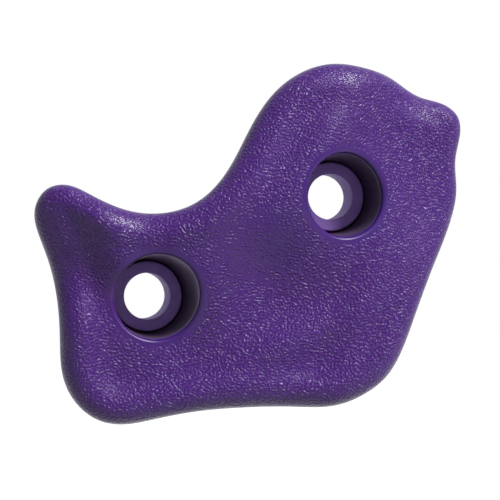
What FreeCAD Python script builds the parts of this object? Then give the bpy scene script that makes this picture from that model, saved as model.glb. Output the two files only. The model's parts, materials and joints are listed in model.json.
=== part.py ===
import FreeCAD, Part

import math
import os

# A moulded climbing hold for a children's wall, held by two bolts.
# It stands as it hangs on the wall: +Z is up, the wall is the plane y = 0, and the front faces -Y.
# The origin is the middle of the bolt pattern, on the wall. Levels are heights above the wall.

# The whole hold: the width and height that the outline's points below are shares of
hold_width = 112.4
hold_height = 94.8
side_lean_deg = 9.5
shoulder_radius = 5.0

# The front face and the soft bead along its rim
face_level = 24.5
rim_height = 1.85
rim_inset = 5.0
rim_spread = 4.0

# The bolts
bolt_spacing = 55.0
bolt_line_deg = 28.0
bolt_clearance_diameter = 12.0

# The bolt bushes, each a flange on a sleeve
flange_diameter = 18.0
flange_thickness = 2.4
flange_gap = 0.4
edge_break = 0.4
sleeve_wall = 1.8
sleeve_clearance = 0.05

# The wells that the bolt heads sit in
seat_level = 9.6
well_draft_deg = 4.0
boss_wall = 2.6

# The open back
shell_wall = 3.4
rib_thickness = 2.6
rib_recess = 0.8
ribs_between_bolts = 4

# How finely the outer form is laid out: points along the outline, then rings over the shoulder, in to
# a core under the middle of the face, and on to the core's centre.
outline_stations = 60
shoulder_rings = 5
spoke_rings = 6
core_rings = 4

# The outline where the hold is widest, clockwise from the tail's tip, as shares of its width and height.
outline_shares = [
    (-0.484, 0.095),
    (-0.456, 0.150),
    (-0.417, 0.160),
    (-0.353, 0.128),
    (-0.276, 0.093),
    (-0.205, 0.087),
    (-0.128, 0.116),
    (-0.068, 0.181),
    (-0.026, 0.259),
    (0.015, 0.345),
    (0.073, 0.429),
    (0.138, 0.477),
    (0.206, 0.495),
    (0.271, 0.487),
    (0.346, 0.461),
    (0.425, 0.414),
    (0.484, 0.393),
    (0.514, 0.360),
    (0.521, 0.319),
    (0.510, 0.242),
    (0.512, 0.161),
    (0.490, 0.055),
    (0.440, -0.066),
    (0.392, -0.196),
    (0.352, -0.300),
    (0.316, -0.360),
    (0.265, -0.403),
    (0.198, -0.431),
    (0.100, -0.433),
    (-0.015, -0.433),
    (-0.128, -0.442),
    (-0.221, -0.461),
    (-0.284, -0.472),
    (-0.336, -0.463),
    (-0.383, -0.426),
    (-0.417, -0.361),
    (-0.428, -0.260),
    (-0.430, -0.177),
    (-0.443, -0.074),
    (-0.469, 0.012),
]

# Swells and dips of the front face: centre, half length and half width as shares of the hold's
# width, the turn of the long axis in degrees, and the rise as a share of the face level.
relief_shares = {
    "crown": (-0.006, 0.040, 0.263, 0.128, 28.4, 0.275),
    "right_fall": (0.505, 0.161, 0.391, 0.208, 123.6, -0.293),
    "finger_ridge": (0.120, -0.200, 0.187, 0.051, 26.0, 0.133),
    "scoop": (0.210, -0.158, 0.181, 0.089, 17.5, -0.112),
    "tail_rise": (-0.323, -0.017, 0.181, 0.068, -71.3, 0.183),
    "valley": (0.015, -0.038, 0.108, 0.124, 1.3, -0.166),
    "dish": (-0.349, -0.083, 0.229, 0.082, -32.0, -0.189),
    "head": (0.194, 0.273, 0.146, 0.066, 43.4, 0.137),
    "beak_dip": (0.379, 0.338, 0.139, 0.037, -16.0, -0.103),
    "corner_dip": (-0.290, -0.277, 0.111, 0.083, -6.9, -0.046),
    "chin": (0.260, -0.162, 0.175, 0.057, 65.8, 0.094),
}

# The rim's bead fades out towards the right side, between these two shares of the hold's width.
rim_fade_shares = (0.29, 0.49)

# The core is an oval in plan that the rings run in to: its centre, half length and half width as
# shares of the hold's width, and the radius of the flat spot at its centre likewise.
core_shares = (-0.020, -0.115, 0.200, 0.075)
core_tip_share = 0.020
core_turn_deg = 20.0
core_start_deg = 145.0

# The inside of the face is a sheet that reaches this share of the hold's width from the middle.
sheet_reach_share = 0.60
sheet_spans = 12

OUTWARD = FreeCAD.Vector(0, -1, 0)


def tangent(degrees):
    """The tangent of an angle given in degrees."""
    return math.tan(math.radians(degrees))


def smooth_step(value, low, high):
    """Rises gently from 0 at low to 1 at high."""
    t = min(1.0, max(0.0, (value - low) / (high - low)))
    return t * t * (3 - 2 * t)


outline = Part.BSplineCurve()
outline_corners = [FreeCAD.Vector(x * hold_width, 0, z * hold_height) for x, z in outline_shares]
outline.interpolate(Points=outline_corners, PeriodicFlag=True)
outline_spots = outline.discretize(outline_stations * 4 + 1)[:-1]


def outline_frames():
    """Even points along the outline, each with its inward normal and how sharply it bends there."""
    frames = []
    for point in outline_spots[::4]:
        t = outline.parameter(point)
        along = outline.tangent(t)[0]
        inward = FreeCAD.Vector(along.z, 0, -along.x)
        frames.append((point, inward, outline.curvature(t)))
    return frames


def edge_distance(spot):
    """How far a spot in plan lies from the outline, as a smooth mean that the nearest points rule.

    Beside a straight edge the sum of step / distance**8 is a constant over distance**7, so its
    seventh root gives the distance back.
    """
    step = outline.length() / len(outline_spots)
    total = sum(step / ((spot.x - p.x) ** 2 + (spot.z - p.z) ** 2) ** 4 for p in outline_spots)
    constant = math.sqrt(math.pi) * math.gamma(3.5) / math.gamma(4)
    return (constant / total) ** (1 / 7)


def line_inside(depth):
    """A ring that runs so deep inside the outline: each point climbs the distance to that depth.

    It starts a little way in, and feels the slope of the distance over a short probe.
    """
    start = 1.0
    probe = 0.05
    ring = []
    for point, inward, _ in outline_frames():
        spot = point + inward * start
        for _ in range(12):
            lift = depth - edge_distance(spot)
            rise_x = edge_distance(spot + FreeCAD.Vector(probe, 0, 0)) - edge_distance(spot)
            rise_z = edge_distance(spot + FreeCAD.Vector(0, 0, probe)) - edge_distance(spot)
            spot += FreeCAD.Vector(rise_x, 0, rise_z).normalize() * lift
        ring.append(spot)
    curve = Part.BSplineCurve()
    curve.interpolate(Points=ring, PeriodicFlag=True)
    return curve.discretize(outline_stations + 1)[:-1]


def closed_curve(ring):
    """A smooth closed curve with one unit of parameter from each point of the ring to the next."""
    curve = Part.BSplineCurve()
    steps = [float(k) for k in range(len(ring) + 1)]
    curve.interpolate(Points=ring, PeriodicFlag=True, Parameters=steps)
    return curve


def relief_level(spot):
    """The front face's level at a spot in plan, without the rim's bead."""
    level = face_level
    for centre_x, centre_z, long, wide, turn_deg, rise in relief_shares.values():
        turn = math.radians(turn_deg)
        dx = spot.x - centre_x * hold_width
        dz = spot.z - centre_z * hold_width
        a = (dx * math.cos(turn) + dz * math.sin(turn)) / (long * hold_width)
        b = (dz * math.cos(turn) - dx * math.sin(turn)) / (wide * hold_width)
        level += rise * face_level * math.exp(-a * a - b * b)
    return level


def face_level_at(spot):
    """The front face's level at a spot in plan, with the bead along its rim."""
    fade = 1 - smooth_step(spot.x / hold_width, *rim_fade_shares)
    t = (edge_distance(spot) - rim_inset) / rim_spread
    return relief_level(spot) + rim_height * fade * math.exp(-t * t)


def core_spot(station, share):
    """A point on the core's oval, or on the smaller and rounder one at this share of its size."""
    centre_x, centre_z, long, wide = (part * hold_width for part in core_shares)
    tip = core_tip_share * hold_width
    turn = math.radians(core_turn_deg)
    angle = math.radians(core_start_deg) - 2 * math.pi * station / outline_stations
    a = (tip + (long - tip) * share) * math.cos(angle)
    b = (tip + (wide - tip) * share) * math.sin(angle)
    x = centre_x + a * math.cos(turn) - b * math.sin(turn)
    z = centre_z + a * math.sin(turn) + b * math.cos(turn)
    return FreeCAD.Vector(x, 0, z)


def evened(ring):
    """The ring with each point moved halfway to the middle of its two neighbours."""
    following = ring[1:] + ring[:1]
    return [b * 0.5 + (a + c) * 0.25 for a, b, c in zip(ring[-1:] + ring[:-1], ring, following)]


def face_plan(edge_ring):
    """Rings in plan from the rolled edge in to the centre of the core."""
    plan = [edge_ring]
    core = [core_spot(k, 1.0) for k in range(outline_stations)]
    for rings_left in range(spoke_rings, 0, -1):
        ring = [a + (b - a) * (1 / rings_left) for a, b in zip(plan[-1], core)]
        plan.append(evened(ring) if rings_left > 1 else ring)
    for rings_left in range(core_rings - 1, -1, -1):
        share = rings_left / core_rings
        plan.append([core_spot(k, share) for k in range(outline_stations)])
    return plan


def levelled(ring):
    """The ring moved onto the plane that lies closest to it, so that a flat cap can close it."""
    middle = sum(ring[1:], ring[0]) * (1 / len(ring))
    arms = [p - middle for p in ring]
    spread = sum(arm.x**2 + arm.z**2 for arm in arms) / 2
    slope_x = sum(arm.x * arm.y for arm in arms) / spread
    slope_z = sum(arm.z * arm.y for arm in arms) / spread
    return [FreeCAD.Vector(p.x, middle.y + slope_x * a.x + slope_z * a.z, p.z) for p, a in zip(ring, arms)]


def skin_rings():
    """Rings from the wall up the leaning side, over the shoulder and in to the middle of the face."""
    lean = math.radians(side_lean_deg)
    turns = [(math.pi / 2 + lean) * k / shoulder_rings - lean for k in range(shoulder_rings)]
    foot_ring = []
    shoulder = [[] for _ in turns]
    edge_ring = []
    for point, inward, bend in outline_frames():
        radius = shoulder_radius / math.hypot(1, shoulder_radius * bend)
        edge = point + inward * radius
        spring = face_level_at(edge) - radius
        low_inset = radius * (1 - math.cos(lean))
        low_level = spring - radius * math.sin(lean)
        foot_ring.append(point + inward * (low_inset + low_level * math.tan(lean)))
        for ring, turn in zip(shoulder, turns):
            inset = radius * (1 - math.cos(turn))
            ring.append(point + inward * inset + OUTWARD * (spring + radius * math.sin(turn)))
        edge_ring.append(edge)
    face = [[p + OUTWARD * face_level_at(p) for p in ring] for ring in face_plan(edge_ring)]
    return [foot_ring] + shoulder + face[:-1] + [levelled(face[-1])]


def dished_block():
    """The hold's outer form as a solid block: straight bands from ring to ring."""
    edges = [closed_curve(ring).toShape() for ring in skin_rings()]
    bands = [Part.makeRuledSurface(low, high) for low, high in zip(edges, edges[1:])]
    caps = [Part.Face(Part.Wire(edge)) for edge in (edges[0], edges[-1])]
    sewn = Part.makeCompound(bands + caps)
    sewn.sewShape()
    return Part.makeSolid(sewn.Shells[0])


def inner_block():
    """The space inside the moulding: one wall's thickness in from the side and the face."""
    foot_inset = face_level * tangent(side_lean_deg) + shell_wall
    foot = Part.Face(Part.Wire(closed_curve(line_inside(foot_inset)).toShape()))
    prism = foot.extrude(OUTWARD * 2 * face_level)
    reach = hold_width * sheet_reach_share
    places = [reach * (2 * k / sheet_spans - 1) for k in range(sheet_spans + 1)]
    grid = []
    for x in places:
        spots = [FreeCAD.Vector(x, 0, z) for z in places]
        grid.append([spot + OUTWARD * (relief_level(spot) - shell_wall) for spot in spots])
    sheet = Part.BSplineSurface()
    sheet.interpolate(grid)
    return prism.common(sheet.toShape().extrude(OUTWARD * -hold_height))


# Where the bolts go through, and sizes that follow from those above
line_turn = math.radians(bolt_line_deg)
bolt_centres = {
    "lower_bolt_bush": FreeCAD.Vector(-math.cos(line_turn), 0, -math.sin(line_turn)) * (bolt_spacing / 2),
    "upper_bolt_bush": FreeCAD.Vector(math.cos(line_turn), 0, math.sin(line_turn)) * (bolt_spacing / 2),
}
well_floor_level = seat_level - flange_thickness
well_floor_radius = flange_diameter / 2 + flange_gap
sleeve_radius = bolt_clearance_diameter / 2 + sleeve_wall
boss_radius = well_floor_radius + (face_level - well_floor_level) * tangent(well_draft_deg) + boss_wall


def rod(centre, radius, low, high):
    """A round rod square to the wall, between two levels."""
    return Part.makeCylinder(radius, high - low, centre + OUTWARD * low, OUTWARD)


def well(centre):
    """The space of one bolt well, open at the front, with the hole for the sleeve below it."""
    depth = hold_height
    mouth_radius = well_floor_radius + depth * tangent(well_draft_deg)
    foot = centre + OUTWARD * well_floor_level
    cone = Part.makeCone(well_floor_radius, mouth_radius, depth, foot, OUTWARD)
    return cone.fuse(rod(centre, sleeve_radius + sleeve_clearance, 0, seat_level))


def rib_grid():
    """Ribs both ways across the hold, square to the line of the bolts, one through each bolt."""
    pitch = bolt_spacing / ribs_between_bolts
    reach = math.hypot(hold_width, hold_height)
    ribs = []
    for k in range(-int(reach / 2 / pitch), int(reach / 2 / pitch) + 1):
        side = k * pitch - rib_thickness / 2
        along = Part.makeBox(reach, reach, rib_thickness, FreeCAD.Vector(-reach / 2, -reach, side))
        across = Part.makeBox(rib_thickness, reach, reach, FreeCAD.Vector(side, -reach, -reach / 2))
        ribs += [along, across]
    for rib in ribs:
        rib.translate(OUTWARD * rib_recess)
        rib.rotate(FreeCAD.Vector(0, 0, 0), OUTWARD, bolt_line_deg)
    return ribs


def hold_shell():
    """The moulded shell: the dished front with its wells, and ribs and bosses in its open back."""
    centres = list(bolt_centres.values())
    wells = [well(centre) for centre in centres]
    block = dished_block().cut(wells)
    bosses = [rod(centre, boss_radius, 0, hold_height) for centre in centres]
    hollow = inner_block().cut(rib_grid() + bosses)
    return block.cut(hollow)


def bolt_bush(centre):
    """A flanged bush that takes the bolt's pull to the wall: its sleeve stands on the wall."""
    bore_radius = bolt_clearance_diameter / 2
    flange_radius = flange_diameter / 2
    profile = [
        (bore_radius, 0),
        (sleeve_radius, 0),
        (sleeve_radius, well_floor_level),
        (flange_radius, well_floor_level),
        (flange_radius, seat_level - edge_break),
        (flange_radius - edge_break, seat_level),
        (bore_radius + edge_break, seat_level),
        (bore_radius, seat_level - edge_break),
    ]
    points = [FreeCAD.Vector(centre.x + r, -level, centre.z) for r, level in profile]
    section = Part.Face(Part.makePolygon(points + points[:1]))
    return section.revolve(centre, OUTWARD, 360)


os.makedirs("parts", exist_ok=True)
pieces = {"hold_shell": hold_shell()}
for name, centre in bolt_centres.items():
    pieces[name] = bolt_bush(centre)
for name, shape in pieces.items():
    shape.exportStep(f"parts/{name}.step")
    box = shape.optimalBoundingBox()
    print(f"{name}: {len(shape.Solids)} solid, {shape.Volume:.0f} mm3, "
          f"{box.XLength:.1f} x {box.YLength:.1f} x {box.ZLength:.1f} mm, valid {shape.isValid()}")
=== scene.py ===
# %% [markdown]
# # A moulded climbing hold
#
# A hold for a small climbing wall is one plastic moulding. Its front is dished for the fingers and has
# a leather grain, two deep wells let the bolts in, and the back is open, with ribs that end just short
# of the wall. A flanged bush in each well takes the bolt's pull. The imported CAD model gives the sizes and
# places. This script gives the hold its skin, as surfaces worked out with numpy, and its violet finish.
#
# It could be sculpted by hand instead. A formula is chosen because each form then has a size that can
# be read and changed, and because the skin is sure to fit the CAD model, which stands for it in the
# physics.

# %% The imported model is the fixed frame
import json
import math

import bmesh
import bpy
import numpy as np
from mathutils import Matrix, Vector
from mathutils.geometry import delaunay_2d_cdt


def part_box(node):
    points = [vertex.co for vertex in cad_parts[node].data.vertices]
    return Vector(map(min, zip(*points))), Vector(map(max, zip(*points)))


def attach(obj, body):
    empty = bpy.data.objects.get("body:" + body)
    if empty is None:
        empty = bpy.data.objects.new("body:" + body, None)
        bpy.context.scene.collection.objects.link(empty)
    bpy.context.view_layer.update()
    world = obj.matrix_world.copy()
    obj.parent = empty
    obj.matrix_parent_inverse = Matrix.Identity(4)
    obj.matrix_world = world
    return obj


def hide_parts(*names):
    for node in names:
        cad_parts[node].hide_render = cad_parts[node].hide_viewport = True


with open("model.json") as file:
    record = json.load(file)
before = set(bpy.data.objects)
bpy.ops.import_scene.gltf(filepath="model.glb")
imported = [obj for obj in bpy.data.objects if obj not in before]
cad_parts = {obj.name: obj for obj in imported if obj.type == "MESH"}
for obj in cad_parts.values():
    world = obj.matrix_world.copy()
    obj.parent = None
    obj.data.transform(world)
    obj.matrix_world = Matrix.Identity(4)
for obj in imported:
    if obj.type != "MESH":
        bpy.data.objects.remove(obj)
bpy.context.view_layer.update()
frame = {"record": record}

# %% [markdown]
# ## Sizes
#
# Every place here is told by three numbers: x to the right and z up on the wall, which together are the
# plan, and the level, which is how far a point stands out from the wall. The front faces -Y, so a level
# becomes minus y in the scene. The bolt holes are mounts in the record, and the bushes are CAD nodes,
# so what depends on them is read from the frame, and can't drift away from it.

# %% Sizes in millimetres, and what the frame says about the bolts
MM = 0.001

# The width and height that the outline's points are shares of
hold_width = 112.4 * MM
hold_height = 94.8 * MM
face_level = 24.5 * MM

mounts = {mount["name"]: mount for mount in frame["record"]["mounts"]}
bolts = {}
for end in ("lower", "upper"):
    place = mounts[f"{end}_bolt_hole"]["pos_m"]
    low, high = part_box(f"{end}_bolt_bush")
    bolts[end] = {
        "centre": np.array([place[0], place[2]]),
        "bore": mounts[f"{end}_bolt_hole"]["dims"]["r_mm"] * MM,
        "flange": (high[0] - low[0]) / 2,
        "seat": -low[1],
    }
print("bolts:", {end: bolt["centre"].round(4).tolist() for end, bolt in bolts.items()})

# %% [markdown]
# ## The outline
#
# Seen from the front the hold is one flowing line: a blunt tail at the left, a dip, a round head and a
# small beak. Forty listed points carry it, as shares of the hold's width and height. Blender's
# own curves could join them, but here the line is needed as numbers, so the spline is worked out. It
# runs through every point and has no corners, like a mould maker's line.

# %% The outline's points, and a smooth closed curve through them
OUTLINE_POINTS = 760
SPLINE_STEPS = 60

outline_shares = np.array([
    (-0.484, 0.095), (-0.456, 0.150), (-0.417, 0.160), (-0.353, 0.128), (-0.276, 0.093),
    (-0.205, 0.087), (-0.128, 0.116), (-0.068, 0.181), (-0.026, 0.259), (0.015, 0.345),
    (0.073, 0.429), (0.138, 0.477), (0.206, 0.495), (0.271, 0.487), (0.346, 0.461),
    (0.425, 0.414), (0.484, 0.393), (0.514, 0.360), (0.521, 0.319), (0.510, 0.242),
    (0.512, 0.161), (0.490, 0.055), (0.440, -0.066), (0.392, -0.196), (0.352, -0.300),
    (0.316, -0.360), (0.265, -0.403), (0.198, -0.431), (0.100, -0.433), (-0.015, -0.433),
    (-0.128, -0.442), (-0.221, -0.461), (-0.284, -0.472), (-0.336, -0.463), (-0.383, -0.426),
    (-0.417, -0.361), (-0.428, -0.260), (-0.430, -0.177), (-0.443, -0.074), (-0.469, 0.012),
])


def even_line(line, count):
    """A closed line again, with its points at even steps along it."""
    steps = np.linalg.norm(np.roll(line, -1, axis=0) - line, axis=1)
    along = np.concatenate([[0], np.cumsum(steps)])
    loop = np.vstack([line, line[:1]])
    even = np.linspace(0, along[-1], count, endpoint=False)
    return np.stack([np.interp(even, along, loop[:, k]) for k in range(2)], axis=1)


def closed_spline(points, count):
    """Even points on a smooth closed curve through the given ones.

    Between two points the curve is a cubic of the distance along the chord. The second derivatives at
    the points solve one ring of equations, which makes slope and bend agree on both sides of each.
    """
    n = len(points)
    ahead = np.roll(points, -1, axis=0)
    span = np.linalg.norm(ahead - points, axis=1)
    before = np.roll(span, 1)
    slope = (ahead - points) / span[:, None]
    matrix = np.diag(2 * (span + before))
    index = np.arange(n)
    matrix[index, (index + 1) % n] = span
    matrix[index, (index - 1) % n] = before
    bend = np.linalg.solve(matrix, 6 * (slope - np.roll(slope, 1, axis=0)))
    bend_ahead = np.roll(bend, -1, axis=0)
    t = np.linspace(0, 1, SPLINE_STEPS, endpoint=False)[None, :, None]
    h = span[:, None, None]
    a, b = points[:, None], ahead[:, None]
    p, q = bend[:, None], bend_ahead[:, None]
    curve = a * (1 - t) + b * t - h**2 / 6 * (t * (1 - t)) * ((2 - t) * p + (1 + t) * q)
    return even_line(curve.reshape(-1, 2), count)


outline = closed_spline(outline_shares * [hold_width, hold_height], OUTLINE_POINTS)
print("outline, mm:", (1000 * np.ptp(outline, axis=0)).round(1).tolist())

# %% [markdown]
# A rounded edge needs to know two things at each point of the line: which way is inwards, and how
# sharply the line bends, because a large radius doesn't fit into a tight turn. Both come from the steps
# between neighbouring points, and both are smoothed a little, or every small unevenness would show as a
# ripple in the gloss.

# %% Which way is inwards, and how tight the line turns
DIRECTION_FLOW = 1.0 * MM
BEND_FLOW = 2.0 * MM


def smoothed(values, steps):
    """Values round a closed line, averaged with their neighbours by a bell curve so many steps wide."""
    k = np.fft.fftfreq(len(values))
    bell = np.exp(-2 * (np.pi * k * steps) ** 2)
    return np.fft.ifft(np.fft.fft(values, axis=0).T * bell).T.real


def line_frame(line):
    """The inward direction at each point of a clockwise closed line, and how sharply the line bends."""
    along = np.roll(line, -1, axis=0) - np.roll(line, 1, axis=0)
    length = np.linalg.norm(along, axis=1, keepdims=True)
    step = length.mean() / 2
    along = smoothed(along / length, DIRECTION_FLOW / step)
    along /= np.linalg.norm(along, axis=1, keepdims=True)
    inward = np.stack([along[:, 1], -along[:, 0]], axis=1)
    turn = np.linalg.norm(np.roll(along, -1, axis=0) - np.roll(along, 1, axis=0), axis=1)
    return inward, smoothed(turn / length[:, 0], BEND_FLOW / step)


print("radius of the tightest turn, mm:", round(1000 / line_frame(outline)[1].max(), 1))

# %% [markdown]
# ## The relief of the front
#
# The face isn't flat: it swells between the bolts, falls to the right and has a diagonal ridge for the
# fingers with a scoop below it. Sculpting could do this too. A sum of bell-shaped hills, each on an
# oval, is as smooth as a worn stone and needs only six numbers for each swell.

# %% Hills and dips as shares, and the level of the face without its rim
# Centre, half length and half width as shares of the hold's width, the turn of the long axis in
# degrees, and the rise as a share of the face level.
relief_shares = {
    "crown": (-0.006, 0.040, 0.263, 0.128, 28.4, 0.275),
    "right_fall": (0.505, 0.161, 0.391, 0.208, 123.6, -0.293),
    "finger_ridge": (0.120, -0.200, 0.187, 0.051, 26.0, 0.133),
    "scoop": (0.210, -0.158, 0.181, 0.089, 17.5, -0.112),
    "tail_rise": (-0.323, -0.017, 0.181, 0.068, -71.3, 0.183),
    "valley": (0.015, -0.038, 0.108, 0.124, 1.3, -0.166),
    "dish": (-0.349, -0.083, 0.229, 0.082, -32.0, -0.189),
    "head": (0.194, 0.273, 0.146, 0.066, 43.4, 0.137),
    "beak_dip": (0.379, 0.338, 0.139, 0.037, -16.0, -0.103),
    "corner_dip": (-0.290, -0.277, 0.111, 0.083, -6.9, -0.046),
    "chin": (0.260, -0.162, 0.175, 0.057, 65.8, 0.094),
}


def relief(plan):
    """The face's level without its rim: the face level plus a sum of bells, rise * exp(-a*a - b*b)."""
    level = np.full(len(plan), face_level)
    for centre_x, centre_z, long, wide, turn_deg, rise in relief_shares.values():
        turn = math.radians(turn_deg)
        dx = plan[:, 0] - centre_x * hold_width
        dz = plan[:, 1] - centre_z * hold_width
        a = (dx * math.cos(turn) + dz * math.sin(turn)) / (long * hold_width)
        b = (dz * math.cos(turn) - dx * math.sin(turn)) / (wide * hold_width)
        level += rise * face_level * np.exp(-a * a - b * b)
    return level


bolt_centres = np.array([bolt["centre"] for bolt in bolts.values()])
print("level at the bolts without the rim, mm:", (1000 * relief(bolt_centres)).round(1))

# %% [markdown]
# The face rises to a soft bead along its rim, which the fingers find first. The bead is a bell across
# the distance to the outline. The plain nearest distance has a crease where two sides are equally near,
# and the crease would show in the face. A mean over the whole outline, in which the nearest points
# count most, has none.

# %% The distance to the outline, and the level of the face with the bead along its rim
rim_height = 1.85 * MM
rim_inset = 5.0 * MM
rim_spread = 4.0 * MM
rim_fade_shares = (0.29, 0.49)
CLOSENESS = 8
BLOCK = 4000


def in_blocks(plan):
    """The places in blocks, so that a table of their distances to a whole line stays small."""
    return np.array_split(plan, max(1, len(plan) // BLOCK))


def edge_distance(plan):
    """How far each place is from the outline, as a smooth mean that the nearest points rule.

    The sum over the outline of step / distance**8 is, beside a straight edge, a constant over
    distance**7, so its seventh root gives the distance back.
    """
    step = np.linalg.norm(np.roll(outline, -1, axis=0) - outline, axis=1)
    constant = math.sqrt(math.pi) * math.gamma((CLOSENESS - 1) / 2) / math.gamma(CLOSENESS / 2)
    parts = []
    for block in in_blocks(plan):
        square = ((block[:, None] - outline[None]) ** 2).sum(axis=2)
        total = (step / square ** (CLOSENESS / 2)).sum(axis=1)
        parts.append((constant / total) ** (1 / (CLOSENESS - 1)))
    return np.concatenate(parts)


def face(plan):
    """The face's level with the bead along its rim, which fades out towards the right side."""
    low, high = rim_fade_shares
    t = np.clip((plan[:, 0] / hold_width - low) / (high - low), 0, 1)
    fade = 1 - t * t * (3 - 2 * t)
    across = (edge_distance(plan) - rim_inset) / rim_spread
    return relief(plan) + rim_height * fade * np.exp(-across * across)


print("face level at the bolts, mm:", (1000 * face(bolt_centres)).round(1))

# %% [markdown]
# ## Where a wall meets the face
#
# The side of the hold and the wall of a well are the same thing to a mould maker: a wall with a little
# draft, and a rounded edge where it meets the face. A bevel modifier could round the corner, but on an
# uneven face it makes uneven strips. A ball that rolls along the corner touches both sides, so the edge
# is worked out as an arc of the ball's radius between the two places where it touches.

# %% A rounded edge between a drafted wall and the face
ARC_STEPS = 14
EDGE_FLOW = 1.5 * MM
SETTLING_STEPS = 4


def rolled_edge(feet, into, foot_level, draft, radius, surface):
    """The arc of a ball that touches both the wall and the face, in the upright plane at each foot.

    In that plane a point is (inset, level). The wall leans as inset = draft * level, and the face is
    taken as its tangent one radius in from where it meets the wall; a few steps settle that place. The
    ball's centre lies one radius inside both lines. Neighbours share the tangent's slope, so that the
    edge flows on where the face is uneven, and what the arc's end then lacks to the face is spread over
    the arc.
    """
    step = np.linalg.norm(np.roll(feet, -1, axis=0) - feet, axis=1).mean()
    probe = radius / 8
    inset = radius
    for _ in range(SETTLING_STEPS):
        level = surface(feet + into * inset[:, None])
        inset = radius + draft * (level - foot_level)
    nearer, farther = feet + into * (inset - probe)[:, None], feet + into * (inset + probe)[:, None]
    rise = surface(farther) - surface(nearer)
    slope = smoothed(rise / (2 * probe), EDGE_FLOW / step)
    wall_in = np.array([1, -draft]) / math.hypot(1, draft)
    face_in = np.stack([slope, -np.ones_like(slope)], axis=1) / np.hypot(1, slope)[:, None]
    reach = face_in[:, 0] * inset + face_in[:, 1] * (level - foot_level) + radius
    size = wall_in[0] * face_in[:, 1] - wall_in[1] * face_in[:, 0]
    centre = np.stack([
        (radius * face_in[:, 1] - wall_in[1] * reach) / size,
        (wall_in[0] * reach - radius * face_in[:, 0]) / size,
    ], axis=1)
    start = np.arctan2(-wall_in[1], -wall_in[0]) % (2 * math.pi)
    end = np.arctan2(-face_in[:, 1], -face_in[:, 0])
    share = np.linspace(0, 1, ARC_STEPS + 1)[:, None]
    angle = start + (end - start)[None] * share
    arc = centre[None] + radius[None, :, None] * np.stack([np.cos(angle), np.sin(angle)], axis=2)
    arc[:, :, 1] += foot_level
    lacking = surface(feet + into * arc[-1, :, :1]) - arc[-1, :, 1]
    arc[:, :, 1] += share**2 * lacking
    print(f"edge: spread over the arc, up to {1000 * np.abs(lacking).max():.2f} mm")
    return arc


# %% [markdown]
# The rows of points so far are flat drawings, one at each foot. Two helpers carry them into the scene:
# one sets a straight wall below the arc, and one stands each drawing upright at its foot.

# %% Helpers that place rows of points


def placed(feet, into, rows):
    """Rows of (inset, level) at each foot as points in the scene: (x, -level, z)."""
    plan = feet[None] + into[None] * rows[:, :, :1]
    return np.stack([plan[:, :, 0], -rows[:, :, 1], plan[:, :, 1]], axis=2)


def wall_rows(foot_inset, foot_level, arc_start, count):
    """Rows up a straight wall from its foot to where the arc starts."""
    share = np.linspace(0, 1, count, endpoint=False)[:, None, None]
    foot = np.stack([foot_inset + 0 * arc_start[:, 0], foot_level + 0 * arc_start[:, 0]], axis=1)
    return foot[None] * (1 - share) + arc_start[None] * share


# %% [markdown]
# ## Stitching a surface together
#
# Grids make the walls and edges. Between them the face is a field of evenly spaced points, joined by
# Delaunay triangles. Rings that shrink to the middle would be simpler, but they pinch there, and the
# light shows it. Even triangles shade well everywhere, and they end on the very points of the grids.

# %% Helpers for grids, and for what lies inside or near a line


def grid_quads(rows, columns):
    """The corners of each quad of a grid that is closed round its columns."""
    r, c = np.meshgrid(np.arange(rows - 1), np.arange(columns), indexing="ij")
    a = r * columns + c
    b = r * columns + (c + 1) % columns
    return np.stack([a, b, b + columns, a + columns], axis=2).reshape(-1, 4).tolist()


def inside(plan, loop):
    """Whether each place lies inside a closed line.

    From such a place a ray to the right crosses the line an odd number of times.
    """
    ahead = np.roll(loop, -1, axis=0)
    hits = []
    for block in in_blocks(plan):
        x, z = block[:, :1], block[:, 1:]
        spans = (loop[None, :, 1] > z) != (ahead[None, :, 1] > z)
        rise = np.where(ahead[:, 1] == loop[:, 1], 1, ahead[:, 1] - loop[:, 1])
        cross = loop[:, 0] + (z - loop[:, 1]) * (ahead[:, 0] - loop[:, 0]) / rise
        hits.append((spans & (x < cross)).sum(axis=1) % 2 == 1)
    return np.concatenate(hits)


def nearest(plan, loop):
    """The distance from each place to the nearest point of a line."""
    parts = []
    for block in in_blocks(plan):
        parts.append(np.sqrt(((block[:, None] - loop[None]) ** 2).sum(axis=2)).min(axis=1))
    return np.concatenate(parts)


# %% [markdown]
# The field of triangles starts as a lattice, in which every second row is half a step along. What lies
# outside the line or in a hole is dropped, and so is what lies too close to a line, because it would
# make slivers there. The triangulation is told which edges it must keep, which are the lines.

# %% Even triangles between a closed line and the holes in it
CLEARANCE_SHARE = 0.7


def filled(loop, holes, spacing):
    """The points and triangles of the plan between a closed line and the holes in it."""
    loops = [loop] + holes
    low, high = loop.min(axis=0), loop.max(axis=0)
    rows = np.arange(low[1], high[1], spacing * math.sqrt(3) / 2)
    columns = np.arange(low[0], high[0], spacing)
    x, z = np.meshgrid(columns, rows)
    x = x + spacing / 2 * (np.arange(len(rows)) % 2)[:, None]
    lattice = np.stack([x.ravel(), z.ravel()], axis=1)
    lattice = lattice[inside(lattice, loop)]
    for line in loops:
        lattice = lattice[nearest(lattice, line) > CLEARANCE_SHARE * spacing]
    for hole in holes:
        lattice = lattice[~inside(lattice, hole)]
    plan = np.vstack(loops + [lattice])
    edges, first = [], 0
    for line in loops:
        edges += [(first + k, first + (k + 1) % len(line)) for k in range(len(line))]
        first += len(line)
    cut = delaunay_2d_cdt([Vector(p) for p in plan.tolist()], edges, [], 1, 1e-9)
    plan = np.array([tuple(p) for p in cut[0]])
    triangles = np.array(cut[2])
    for hole in holes:
        triangles = triangles[~inside(plan[triangles].mean(axis=1), hole)]
    return plan, triangles


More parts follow.
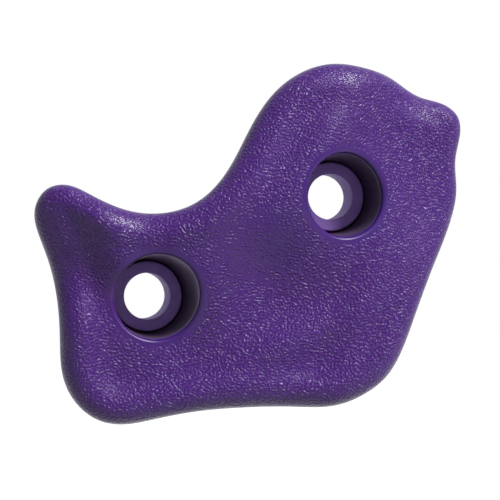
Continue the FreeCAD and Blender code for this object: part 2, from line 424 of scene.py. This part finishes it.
# %% [markdown]
# A mesh in Blender is a list of points and a list of faces that name their corners by number. The parts
# of a surface are put one after the other into such lists, and points that lie in the same place are
# then merged, which closes the seams. An edge that isn't shared by exactly two faces would be a gap, so
# those are counted.

# %% One closed mesh from several parts
MERGE_DISTANCE = 0.001 * MM


def mesh_object(name, shells):
    """One closed mesh of several point and face lists whose rims meet, its faces turned outwards."""
    points, faces = [], []
    for shell_points, shell_faces in shells:
        faces += [[len(points) + k for k in corners] for corners in shell_faces]
        points += np.asarray(shell_points).reshape(-1, 3).tolist()
    mesh = bpy.data.meshes.new(name)
    mesh.from_pydata(points, [], faces)
    sheet = bmesh.new()
    sheet.from_mesh(mesh)
    bmesh.ops.remove_doubles(sheet, verts=sheet.verts, dist=MERGE_DISTANCE)
    bmesh.ops.recalc_face_normals(sheet, faces=sheet.faces)
    open_edges = sum(1 for edge in sheet.edges if not edge.is_manifold)
    sheet.to_mesh(mesh)
    sheet.free()
    obj = bpy.data.objects.new(name, mesh)
    bpy.context.scene.collection.objects.link(obj)
    print(f"{name}: {len(mesh.vertices)} points, {len(mesh.polygons)} faces, {open_edges} open edges")
    return obj


# %% [markdown]
# ## The bolt wells
#
# A bolt's head sits deep in a well, so that no foot catches on it. The well widens a little towards the
# front, because its core has to slide out of the mould, and its lip is rounded for the fingers. A hole
# through its floor lets the bush's sleeve pass. A boolean with a cone could cut it, but couldn't round a
# lip on an uneven face, so the well is made of rows like the side: hole, floor, wall and lip.

# %% The rows of one well
well_gap = 0.4 * MM
flange_thickness = 2.4 * MM
well_draft = math.tan(math.radians(4.0))
lip_radius = 1.1 * MM
sleeve_radius = 7.85 * MM


def well_points(bolt, surface, count=144):
    """One well's points, and where its lip and its hole's foot lie in plan.

    The rows run up the sleeve's hole, out over the floor, up the drafted wall and over the lip. Each is
    a circle round the bolt, radius = bolt's flange + gap + inset.
    """
    angle = -2 * math.pi * np.arange(count) / count
    out = np.stack([np.cos(angle), np.sin(angle)], axis=1)
    floor_radius = bolt["flange"] + well_gap
    floor_level = bolt["seat"] - flange_thickness
    feet = bolt["centre"] + out * floor_radius
    arc = rolled_edge(feet, out, floor_level, well_draft, np.full(count, lip_radius), surface)
    wall = wall_rows(0.0, floor_level, arc[0], 30)
    floor = wall_rows(sleeve_radius - floor_radius, floor_level, wall[0], 4)
    hole = wall_rows(sleeve_radius - floor_radius, 0.0, floor[0], 8)
    points = placed(feet, out, np.concatenate([hole, floor, wall, arc]))
    return points, points[-1][:, [0, 2]], points[0][:, [0, 2]]


# %% [markdown]
# ## The outer skin
#
# The side leans outwards from the wall up to its widest line, rolls over the shoulder and becomes the
# face. Where the outline turns sharply, at the tail and the beak, the shoulder is tighter, because a
# large ball doesn't fit in there. Side, shoulder, wells, face and a flat back are joined into one closed
# block, because only a closed block can be hollowed out cleanly afterwards.

# %% Side, shoulder, wells and face as one closed block
side_lean = math.tan(math.radians(9.5))
shoulder_radius = 5.0 * MM
face_spacing = 0.52 * MM
SIDE_STRETCH = 1.6
BACK_STRETCH = 8


def dished_block(name, line, draft, radius, surface, spacing, wells=()):
    """A closed block that is widest on the line, where its side meets the rolled edge.

    The side leans in by the draft with each millimetre up; below nought it leans out. Its points may be
    farther apart than the face's, since it is straight, and those of the flat back farther still.
    """
    into, bend = line_frame(line)
    radius = radius / np.hypot(1, radius * bend)
    widest = surface(line + into * radius[:, None]) - radius
    arc = rolled_edge(line, into, widest, draft, radius, surface)
    side_count = max(2, int(face_level / spacing / SIDE_STRETCH))
    side = wall_rows(-widest * draft, 0.0, arc[0], side_count)
    band = placed(line, into, np.concatenate([side, arc]))
    shells = [(band, grid_quads(len(band), len(line)))]
    holes, feet_of_wells = [], []
    for bolt in wells:
        points, rim, foot = well_points(bolt, surface)
        shells.append((points, grid_quads(len(points), points.shape[1])))
        holes.append(rim)
        feet_of_wells.append(foot)
    plan, triangles = filled(band[-1][:, [0, 2]], holes, spacing)
    shells.append((np.stack([plan[:, 0], -surface(plan), plan[:, 1]], axis=1), triangles.tolist()))
    plan, triangles = filled(band[0][:, [0, 2]], feet_of_wells, BACK_STRETCH * spacing)
    shells.append((np.stack([plan[:, 0], 0 * plan[:, 0], plan[:, 1]], axis=1), triangles.tolist()))
    return mesh_object(name, shells)


skin = dished_block(
    "hold_skin", outline, -side_lean, shoulder_radius, face, face_spacing, list(bolts.values())
)

# %% [markdown]
# ## The open back
#
# Behind the skin the moulding is hollow. Its inside follows the outside one wall's thickness in. Bosses
# stand round the wells, and a grid of ribs, lined up with the bolts, stiffens the face. Ribs could be
# added to a thin shell one by one, but each would have to end exactly on the uneven inner face. It is
# easier the other way round: the hollow is built as a solid of its own, ribs and bosses are cut out of
# it, and what is left is taken out of the block. The boolean modifier does the cutting. Its manifold
# solver is quick and leaves closed meshes closed, with some very thin triangles.

# %% A cut with the boolean modifier, made final


def cut(target, tool):
    """Takes the tool's space out of the target, and deletes the tool."""
    step = target.modifiers.new("cut", "BOOLEAN")
    step.operation = "DIFFERENCE"
    step.solver = "MANIFOLD"
    step.object = tool
    depsgraph = bpy.context.evaluated_depsgraph_get()
    mesh = bpy.data.meshes.new_from_object(target.evaluated_get(depsgraph))
    target.modifiers.clear()
    old = target.data
    target.data = mesh
    mesh.name = target.name
    bpy.data.meshes.remove(old)
    bpy.data.objects.remove(tool)


# %% [markdown]
# The tools of the cut are plain forms, since only their sides leave a mark: a block for each rib and a
# round rod for each boss. The ribs run along the line of the bolts and across it, and one passes through
# each bolt, which is where the load is.

# %% Ribs and bosses as cutting tools
boss_wall = 2.6 * MM
bolt_line = bolts["upper"]["centre"] - bolts["lower"]["centre"]
bolt_turn = math.atan2(bolt_line[1], bolt_line[0])


def box(name, low, high):
    """A rib as a block between two corners, given along the bolts, out of the wall and across."""
    c, s = math.cos(bolt_turn), math.sin(bolt_turn)
    x, y, z = (axis.ravel() for axis in np.meshgrid(*zip(low, high), indexing="ij"))
    turned = np.stack([x * c - z * s, -y, x * s + z * c], axis=1)
    faces = [(0, 1, 3, 2), (4, 6, 7, 5), (0, 4, 5, 1), (2, 3, 7, 6), (0, 2, 6, 4), (1, 5, 7, 3)]
    return mesh_object(name, [(turned, faces)])


def boss(bolt, count=96):
    """A round boss from the wall up through the hollow, a little wider than the well inside it."""
    angle = 2 * math.pi * np.arange(count) / count
    floor_level = bolt["seat"] - flange_thickness
    radius = bolt["flange"] + well_gap + (face_level - floor_level) * well_draft + boss_wall
    ring = bolt["centre"] + radius * np.stack([np.cos(angle), np.sin(angle)], axis=1)
    rows = np.stack([
        np.stack([ring[:, 0], 0 * angle - level, ring[:, 1]], axis=1) for level in (-MM, 2 * face_level)
    ])
    faces = grid_quads(2, count) + [list(range(count)), list(range(count, 2 * count))]
    return mesh_object("boss", [(rows, faces)])


# %% [markdown]
# The hollow's own outline runs inside the hold's at an even depth. Scaling the outline down would leave
# the wall thin where the hold is narrow, so each point walks inwards until its distance to the outline
# is right, the way a walker follows a contour line.

# %% The hollow's outline, and the hollow cut out of the block
shell_wall = 3.4 * MM
inner_draft = math.tan(math.radians(2.0))
inner_roll = 1.5 * MM
rib_thickness = 2.6 * MM
rib_recess = 0.8 * MM
ribs_between_bolts = 4
ribs_each_way = 5
HOLLOW_COARSENESS = 4
CLIMBING_STEPS = 12


def line_inside(line, depth, count):
    """A line that runs so deep inside another: each point climbs the smooth distance to that depth."""
    inward = line_frame(line)[0]
    spots = line + inward * MM
    probe = 0.05 * MM
    for _ in range(CLIMBING_STEPS):
        lift = depth - edge_distance(spots)
        across = edge_distance(spots + [probe, 0]) - edge_distance(spots - [probe, 0])
        up = edge_distance(spots + [0, probe]) - edge_distance(spots - [0, probe])
        slope = np.stack([across, up], axis=1)
        spots = spots + lift[:, None] * slope / np.linalg.norm(slope, axis=1, keepdims=True)
    return even_line(spots, count)


inner_line = line_inside(outline, face_level * side_lean + shell_wall, 240)
hollow = dished_block(
    "hollow", inner_line, inner_draft, inner_roll, lambda plan: relief(plan) - shell_wall,
    HOLLOW_COARSENESS * face_spacing,
)
for bolt in bolts.values():
    cut(hollow, boss(bolt))
reach = 0.5 * math.hypot(hold_width, hold_height)
rib_pitch = np.linalg.norm(bolt_line) / ribs_between_bolts
for k in range(-ribs_each_way, ribs_each_way + 1):
    side = (k * rib_pitch - rib_thickness / 2, k * rib_pitch + rib_thickness / 2)
    cut(hollow, box("rib_along", (-reach, rib_recess, side[0]), (reach, reach, side[1])))
    cut(hollow, box("rib_across", (side[0], rib_recess, -reach), (side[1], reach, reach)))
cut(skin, hollow)
print("shell:", len(skin.data.vertices), "points,", len(skin.data.polygons), "faces")

# %% [markdown]
# ## The bushes
#
# Each bush is turned: a flange on a sleeve, with its edges just broken. A screw modifier would turn a
# profile too. Here the profile and the circle are multiplied as arrays, in one line each for x and z,
# and the bore, the flange and the seat are those of the CAD node that the bush stands for.

# %% A flanged bush as a profile carried round its axis
sleeve_clearance = 0.05 * MM
edge_break = 0.4 * MM


def corner_arc(x, y, radius, start_deg, steps=4):
    """A quarter circle in the profile, from the start angle on by ninety degrees, clockwise."""
    angle = np.radians(start_deg) - np.linspace(0, math.pi / 2, steps + 1)
    return np.stack([x + radius * np.cos(angle), y + radius * np.sin(angle)], axis=1)


def bush(name, bolt, count=128):
    """The profile (radius, level) runs up the bore, over the flange and down the sleeve."""
    bore, flange, seat = bolt["bore"], bolt["flange"], bolt["seat"]
    sleeve = sleeve_radius - sleeve_clearance
    under = seat - flange_thickness
    profile = np.vstack([
        [(bore, 0)],
        np.stack([np.full(8, bore), np.linspace(0.1, 0.9, 8) * seat], axis=1),
        corner_arc(bore + edge_break, seat - edge_break, edge_break, 180),
        corner_arc(flange - edge_break, seat - edge_break, edge_break, 90),
        [(flange, under), (sleeve, under), (sleeve, 0)],
    ])
    angle = 2 * math.pi * np.arange(count) / count
    x = bolt["centre"][0] + profile[:, :1] * np.cos(angle)
    z = bolt["centre"][1] + profile[:, :1] * np.sin(angle)
    y = np.broadcast_to(-profile[:, 1:], x.shape)
    points = np.stack([x, y, z], axis=2)
    points = np.concatenate([points, points[:1]])
    return mesh_object(name, [(points, grid_quads(len(points), count))])


bushes = {end: bush(f"{end}_bush", bolt) for end, bolt in bolts.items()}

# %% [markdown]
# ## Where the grain is
#
# The mould's leather grain covers the front. It is polished away round the wells' lips, in the wells
# and on the back, and fades on the outer side of the shoulder, where the mould parts, and in the grip
# between the bolts, where hands rub. This could be painted as a mask. Here the grain's strength at each
# point of the mesh is worked out from the same surfaces and kept as an attribute, which the material
# reads, so the mask is as sharp as the mesh and moves with it.

# %% Helpers that read and write numbers at the mesh's points


def eased(value, low, high):
    """Rises gently from 0 at low to 1 at high."""
    t = np.clip((value - low) / (high - low), 0, 1)
    return t * t * (3 - 2 * t)


def points_of(piece):
    """The mesh's points as rows of x, y and z."""
    flat = np.empty(3 * len(piece.data.vertices))
    piece.data.vertices.foreach_get("co", flat)
    return flat.reshape(-1, 3)


def attribute(piece, name, values):
    """Keeps one number per point in the mesh, for its material to read."""
    kept = piece.data.attributes.new(name, "FLOAT", "POINT")
    kept.data.foreach_set("value", values.astype(np.float32))
    print(f"{name}: {values.min():.2f} to {values.max():.2f}, mean {values.mean():.2f}")


# %% The grain's strength, and the wells' painted light and dullness at each point
SHOULDER_GRAIN, SHOULDER_FADE = 0.2, (0.5 * MM, 2.5 * MM)
GRIP_GRAIN, GRIP_FADE = 0.5, (5 * MM, 17 * MM)
LIP_FADE = (2.6 * MM, 4.6 * MM)
BACK_FADE = (0.5 * MM, 2.0 * MM)
WELL_FADE = (1.0 * MM, 2.2 * MM)
WELL_DEPTH_FADE = (0.4 * MM, 3.0 * MM)


def grain_strength(spots):
    """Full on the face; less below the shoulder's crest, at the wells, at the back and in the grip.

    The grip is the dip between the bolts, which is round the origin, where hands rub the grain down.
    """
    plan, level = spots[:, [0, 2]], -spots[:, 1]
    below = face(plan) - level
    strength = 1 - (1 - SHOULDER_GRAIN) * eased(below, *SHOULDER_FADE)
    strength *= GRIP_GRAIN + (1 - GRIP_GRAIN) * eased(np.linalg.norm(plan, axis=1), *GRIP_FADE)
    for bolt in bolts.values():
        away = np.linalg.norm(plan - bolt["centre"], axis=1) - bolt["flange"]
        strength *= eased(away, *LIP_FADE)
    return strength * eased(level, *BACK_FADE)


def well_painted_light_and_dullness(spots):
    """One inside the wells, where the colour is painted lighter and greyer as painted light and the plastic
    is duller, and nought outside.
    """
    plan, level = spots[:, [0, 2]], -spots[:, 1]
    shade = np.zeros(len(spots))
    for bolt in bolts.values():
        away = np.linalg.norm(plan - bolt["centre"], axis=1) - bolt["flange"]
        shade = np.maximum(shade, 1 - eased(away, *WELL_FADE))
    return shade * eased(face(plan) - level, *WELL_DEPTH_FADE)


spots = points_of(skin)
attribute(skin, "grain", grain_strength(spots))
attribute(skin, "well", well_painted_light_and_dullness(spots))

# %% [markdown]
# ## The violet finish
#
# A material in Blender is a tree of nodes that ends in a shader. Most of what a finish needs is made of
# a few steps: place a texture, stretch its values to a range, and mix two colours by them. Each step
# gets a helper, so that the materials read like a recipe.

# %% Helpers for materials


def new_material(name, colour, roughness):
    """A material with one Principled shader, and its node tree."""
    material = bpy.data.materials.new(name)
    material.use_nodes = True
    tree = material.node_tree
    shader = tree.nodes["Principled BSDF"]
    shader.inputs["Base Color"].default_value = (*colour, 1)
    shader.inputs["Roughness"].default_value = roughness
    return material, tree, shader


def add(tree, kind, **values):
    """A node of this kind; a value whose name is a socket goes to the socket, else to the node."""
    node = tree.nodes.new(kind)
    for key, value in values.items():
        if key in node.inputs:
            node.inputs[key].default_value = value
        else:
            setattr(node, key, value)
    return node


def spread(tree, source, low, high, out_low, out_high):
    """The source's values between low and high, stretched smoothly to another range."""
    node = add(tree, "ShaderNodeMapRange", interpolation_type="SMOOTHSTEP")
    for name, value in zip(("From Min", "From Max", "To Min", "To Max"), (low, high, out_low, out_high)):
        node.inputs[name].default_value = value
    tree.links.new(source, node.inputs["Value"])
    return node.outputs["Result"]


def product(tree, a, b):
    """Two values multiplied."""
    node = add(tree, "ShaderNodeMath", operation="MULTIPLY")
    tree.links.new(a, node.inputs[0])
    tree.links.new(b, node.inputs[1])
    return node.outputs[0]


def tinted(tree, share, under, over):
    """A colour between two others, by a share; each is a colour or another node's output."""
    node = add(tree, "ShaderNodeMix", data_type="RGBA")
    tree.links.new(share, node.inputs["Factor"])
    for socket, colour in ((node.inputs[6], under), (node.inputs[7], over)):
        if isinstance(colour, tuple):
            socket.default_value = (*colour, 1)
        else:
            tree.links.new(colour, socket)
    return node.outputs[2]


def slow_noise(tree, place, size, detail=3.0):
    """Soft noise whose patches are about this size."""
    noise = add(tree, "ShaderNodeTexNoise", Scale=1 / size, Detail=detail)
    tree.links.new(place, noise.inputs["Vector"])
    return noise.outputs["Fac"]


# %% [markdown]
# The shell is a matte polyethylene. Its grain is like fine leather: short raised strokes and dots, less
# than half a millimetre wide, which run every way and catch the light as small glints. Real strokes in
# the mesh would take millions of faces, so they are raised by a bump. A Voronoi texture would give round
# pebbles. A Gabor texture gives strokes, because it adds up little wave packets of one width that point
# in random directions. Their tops are painted lighter, a painted highlight for the glints, and slow noise
# varies the colour and the gloss over the whole hold. In the wells the colour is painted lighter and
# greyer, which is painted light, and the plastic is duller.

# %% The shell's material
VIOLET = (0.046, 0.0048, 0.137)
BLUER_VIOLET = (0.039, 0.0051, 0.146)
# Painted highlight: the tops of the grain's strokes are coloured lighter for their glints
PAINTED_GLINT_VIOLET = (0.068, 0.0100, 0.180)
# Painted light: the wells are coloured lighter and greyer than the shell
WELL_PAINTED_LIGHT_VIOLET = (0.062, 0.034, 0.084)
STROKE_SIZE = 1.5 * MM
STROKE_HEIGHT = 0.20 * MM


def grained_violet():
    """Violet with a leather grain: wave packets raise the strokes, the grain attribute says where."""
    material, tree, shader = new_material("grained_violet", VIOLET, 0.45)
    shader.inputs["Specular IOR Level"].default_value = 0.28
    place = add(tree, "ShaderNodeTexCoord").outputs["Object"]
    grain = add(tree, "ShaderNodeAttribute", attribute_name="grain").outputs["Fac"]
    well = add(tree, "ShaderNodeAttribute", attribute_name="well").outputs["Fac"]
    packets = add(
        tree, "ShaderNodeTexGabor", gabor_type="3D", Scale=1 / STROKE_SIZE, Frequency=1.7, Anisotropy=0.0
    )
    tree.links.new(place, packets.inputs["Vector"])
    strokes = spread(tree, packets.outputs["Value"], 0.38, 0.64, 0.0, 1.0)
    raised = product(tree, strokes, grain)
    bump = add(tree, "ShaderNodeBump", Strength=1.0, Distance=STROKE_HEIGHT)
    tree.links.new(raised, bump.inputs["Height"])
    tree.links.new(bump.outputs["Normal"], shader.inputs["Normal"])
    patches = spread(tree, slow_noise(tree, place, 22 * MM), 0.3, 0.7, 0.0, 1.0)
    violet = tinted(tree, patches, VIOLET, BLUER_VIOLET)
    # Painted highlight: the raised strokes are tinted lighter
    painted_glints = tinted(tree, raised, violet, PAINTED_GLINT_VIOLET)
    # Painted light: inside the wells the colour is painted lighter and greyer
    with_painted_well_light = tinted(tree, well, painted_glints, WELL_PAINTED_LIGHT_VIOLET)
    tree.links.new(with_painted_well_light, shader.inputs["Base Color"])
    gloss = spread(tree, slow_noise(tree, place, 9 * MM), 0.3, 0.7, 0.27, 0.36)
    dulled = add(tree, "ShaderNodeMath", operation="MULTIPLY_ADD")
    tree.links.new(well, dulled.inputs[0])
    dulled.inputs[1].default_value = 0.4
    tree.links.new(gloss, dulled.inputs[2])
    tree.links.new(dulled.outputs[0], shader.inputs["Roughness"])
    return material


# %% [markdown]
# The bushes are smooth nylon. Their colour is painted much paler than the shell's, painted light for the
# seat deep in each well. In one flat colour so plain a moulding would look drawn. What gives it away as
# plastic is faint: cloudy flow marks a few millimetres wide from the mould, and small scuffs from washers,
# which change the gloss more than the colour. Both are noise at two sizes.

# %% The bushes' material
# Painted light: the bushes are coloured much paler than the shell, for light on the seats
BUSH_PAINTED_LIGHT = (0.370, 0.215, 0.690)
PALER_BUSH_PAINTED_LIGHT = (0.420, 0.250, 0.750)


def smooth_violet():
    """The bush's smooth nylon, painted paler than the shell as painted light, with faint flow marks and a
    scuffed seat.
    """
    material, tree, shader = new_material("smooth_violet", BUSH_PAINTED_LIGHT, 0.5)
    shader.inputs["Specular IOR Level"].default_value = 0.25
    place = add(tree, "ShaderNodeTexCoord").outputs["Object"]
    flow = spread(tree, slow_noise(tree, place, 3 * MM, 5.0), 0.3, 0.7, 0.0, 1.0)
    colour = tinted(tree, flow, BUSH_PAINTED_LIGHT, PALER_BUSH_PAINTED_LIGHT)
    tree.links.new(colour, shader.inputs["Base Color"])
    scuffs = spread(tree, slow_noise(tree, place, 0.8 * MM, 4.0), 0.35, 0.75, 0.50, 0.65)
    tree.links.new(scuffs, shader.inputs["Roughness"])
    bump = add(tree, "ShaderNodeBump", Strength=0.3, Distance=0.02 * MM)
    tree.links.new(scuffs, bump.inputs["Height"])
    tree.links.new(bump.outputs["Normal"], shader.inputs["Normal"])
    return material


# %% [markdown]
# ## Dressing the pieces
#
# Each piece gets its material and smooth shading, with sharp edges only where faces meet at a steep
# angle, as at the ribs. Then the CAD node that it stands for is hidden, and it is attached to the root
# body that it rides on, so that the physics and the picture stay one object.

# %% Materials, shading and what each piece stands for
SHARP_DEG = 35

skin.data.materials.clear()
skin.data.materials.append(grained_violet())
bush_finish = smooth_violet()
for piece in bushes.values():
    piece.data.materials.append(bush_finish)
for piece in [skin, *bushes.values()]:
    piece.data.polygons.foreach_set("use_smooth", np.ones(len(piece.data.polygons), dtype=bool))
    piece.data.set_sharp_from_angle(angle=math.radians(SHARP_DEG))
    print(f"{piece.name}: {piece.active_material.name}")

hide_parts("hold_shell")
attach(skin, "root")
for end, piece in bushes.items():
    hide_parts(f"{end}_bolt_bush")
    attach(piece, "root")

# %% [markdown]
# ## The camera
#
# The photograph was taken from half a metre, twelve degrees to the hold's left, which shows in the
# wells: more of their right walls is seen. A camera that aims at the hold would tilt it a little. This
# one looks level, as the photographer's did, and is moved sideways and down until the hold sits where
# it does in the photograph.

# %% The camera
camera_turn = math.radians(12.0)
camera_distance = 500 * MM
aim_right, aim_down = 4.6 * MM, 1.06 * MM
lens_share = 3.78
ahead = Vector((math.sin(camera_turn), math.cos(camera_turn), 0))
right = Vector((math.cos(camera_turn), -math.sin(camera_turn), 0))
camera = bpy.data.cameras.new("camera")
camera.lens = lens_share * camera.sensor_width
eye = bpy.data.objects.new("camera", camera)
eye.location = right * aim_right - ahead * camera_distance - Vector((0, 0, aim_down))
eye.rotation_euler = (math.radians(90), 0, -camera_turn)
bpy.context.scene.collection.objects.link(eye)
bpy.context.scene.camera = eye
print("camera at, mm:", [round(1000 * v, 1) for v in eye.location])

# %% [markdown]
# ## The light
#
# One soft lamp stands to the right, in front and above. Its size sets how sharp the glints on the grain
# are: a smaller lamp makes them smaller and brighter. It stands far enough to the side to rake over the
# relief, because light from straight in front would flatten it.

# %% The key lamp
KEY_PLACE = (0.60, -0.65, 0.80)
KEY_SIZE = 0.42
KEY_POWER = 19.0


def lamp(name, place, size, power):
    """A soft square lamp at a place, turned towards the hold."""
    light = bpy.data.lights.new(name, "AREA")
    light.shape = "SQUARE"
    light.size = size
    light.energy = power
    obj = bpy.data.objects.new(name, light)
    obj.location = place
    obj.rotation_euler = (-Vector(place)).to_track_quat("-Z", "Y").to_euler()
    bpy.context.scene.collection.objects.link(obj)
    print(f"{name}: {size} m square, {power} W, {Vector(place).length:.2f} m away")


lamp("key", KEY_PLACE, KEY_SIZE, KEY_POWER)

# %% [markdown]
# Around it is a white room. A world so bright that it looks white would also drown the lamp's shadows,
# so it has two strengths: white for rays that the camera sees straight, in a mirror or through glass,
# and about a third of that for the soft light that falls on the hold.

# %% The white room
SOFT_LIGHT = 0.31


def seen_directly(tree):
    """One for rays seen straight, in a mirror or through glass, and nought for the rest."""
    ray = add(tree, "ShaderNodeLightPath")
    total = ray.outputs["Is Camera Ray"]
    for name in ("Is Glossy Ray", "Is Transmission Ray"):
        both = add(tree, "ShaderNodeMath", operation="MAXIMUM")
        tree.links.new(total, both.inputs[0])
        tree.links.new(ray.outputs[name], both.inputs[1])
        total = both.outputs[0]
    return total


world = bpy.data.worlds.new("white_room")
bpy.context.scene.world = world
world.use_nodes = True
tree = world.node_tree
background = tree.nodes["Background"]
background.inputs["Color"].default_value = (1, 1, 1, 1)
strength = spread(tree, seen_directly(tree), 0.0, 1.0, SOFT_LIGHT, 1.0)
tree.links.new(strength, background.inputs["Strength"])
print("soft light of the room:", SOFT_LIGHT)

# %% [markdown]
# The floor lies well below the hold, as in a picture of something that hangs on a wall. Seen by the
# camera it is white like the room, so no horizon shows. The light that it throws back is kept dull, or
# it would brighten the hold from below, where the photograph is dark.

# %% The floor
FLOOR_LEVEL = -160 * MM
FLOOR_REACH = 3.0
FLOOR_DULL = (0.15, 0.15, 0.15)
FLOOR_WHITE = (0.90, 0.90, 0.90)
FLOOR_GLOW = 0.65


def floor(level, span):
    """A square of floor at a level, white to the eye and dull in the light that it throws back."""
    mesh = bpy.data.meshes.new("floor")
    corners = [(-span, -span, level), (span, -span, level), (span, span, level), (-span, span, level)]
    mesh.from_pydata(corners, [], [(0, 1, 2, 3)])
    obj = bpy.data.objects.new("floor", mesh)
    bpy.context.scene.collection.objects.link(obj)
    material, tree, shader = new_material("floor_white", FLOOR_WHITE, 0.9)
    seen = seen_directly(tree)
    tree.links.new(tinted(tree, seen, FLOOR_DULL, FLOOR_WHITE), shader.inputs["Base Color"])
    shader.inputs["Emission Color"].default_value = (1, 1, 1, 1)
    tree.links.new(spread(tree, seen, 0.0, 1.0, 0.0, FLOOR_GLOW), shader.inputs["Emission Strength"])
    mesh.materials.append(material)


floor(FLOOR_LEVEL, FLOOR_REACH)

# Colours are shown as they are, without the look of film.
bpy.context.scene.view_settings.view_transform = "Standard"
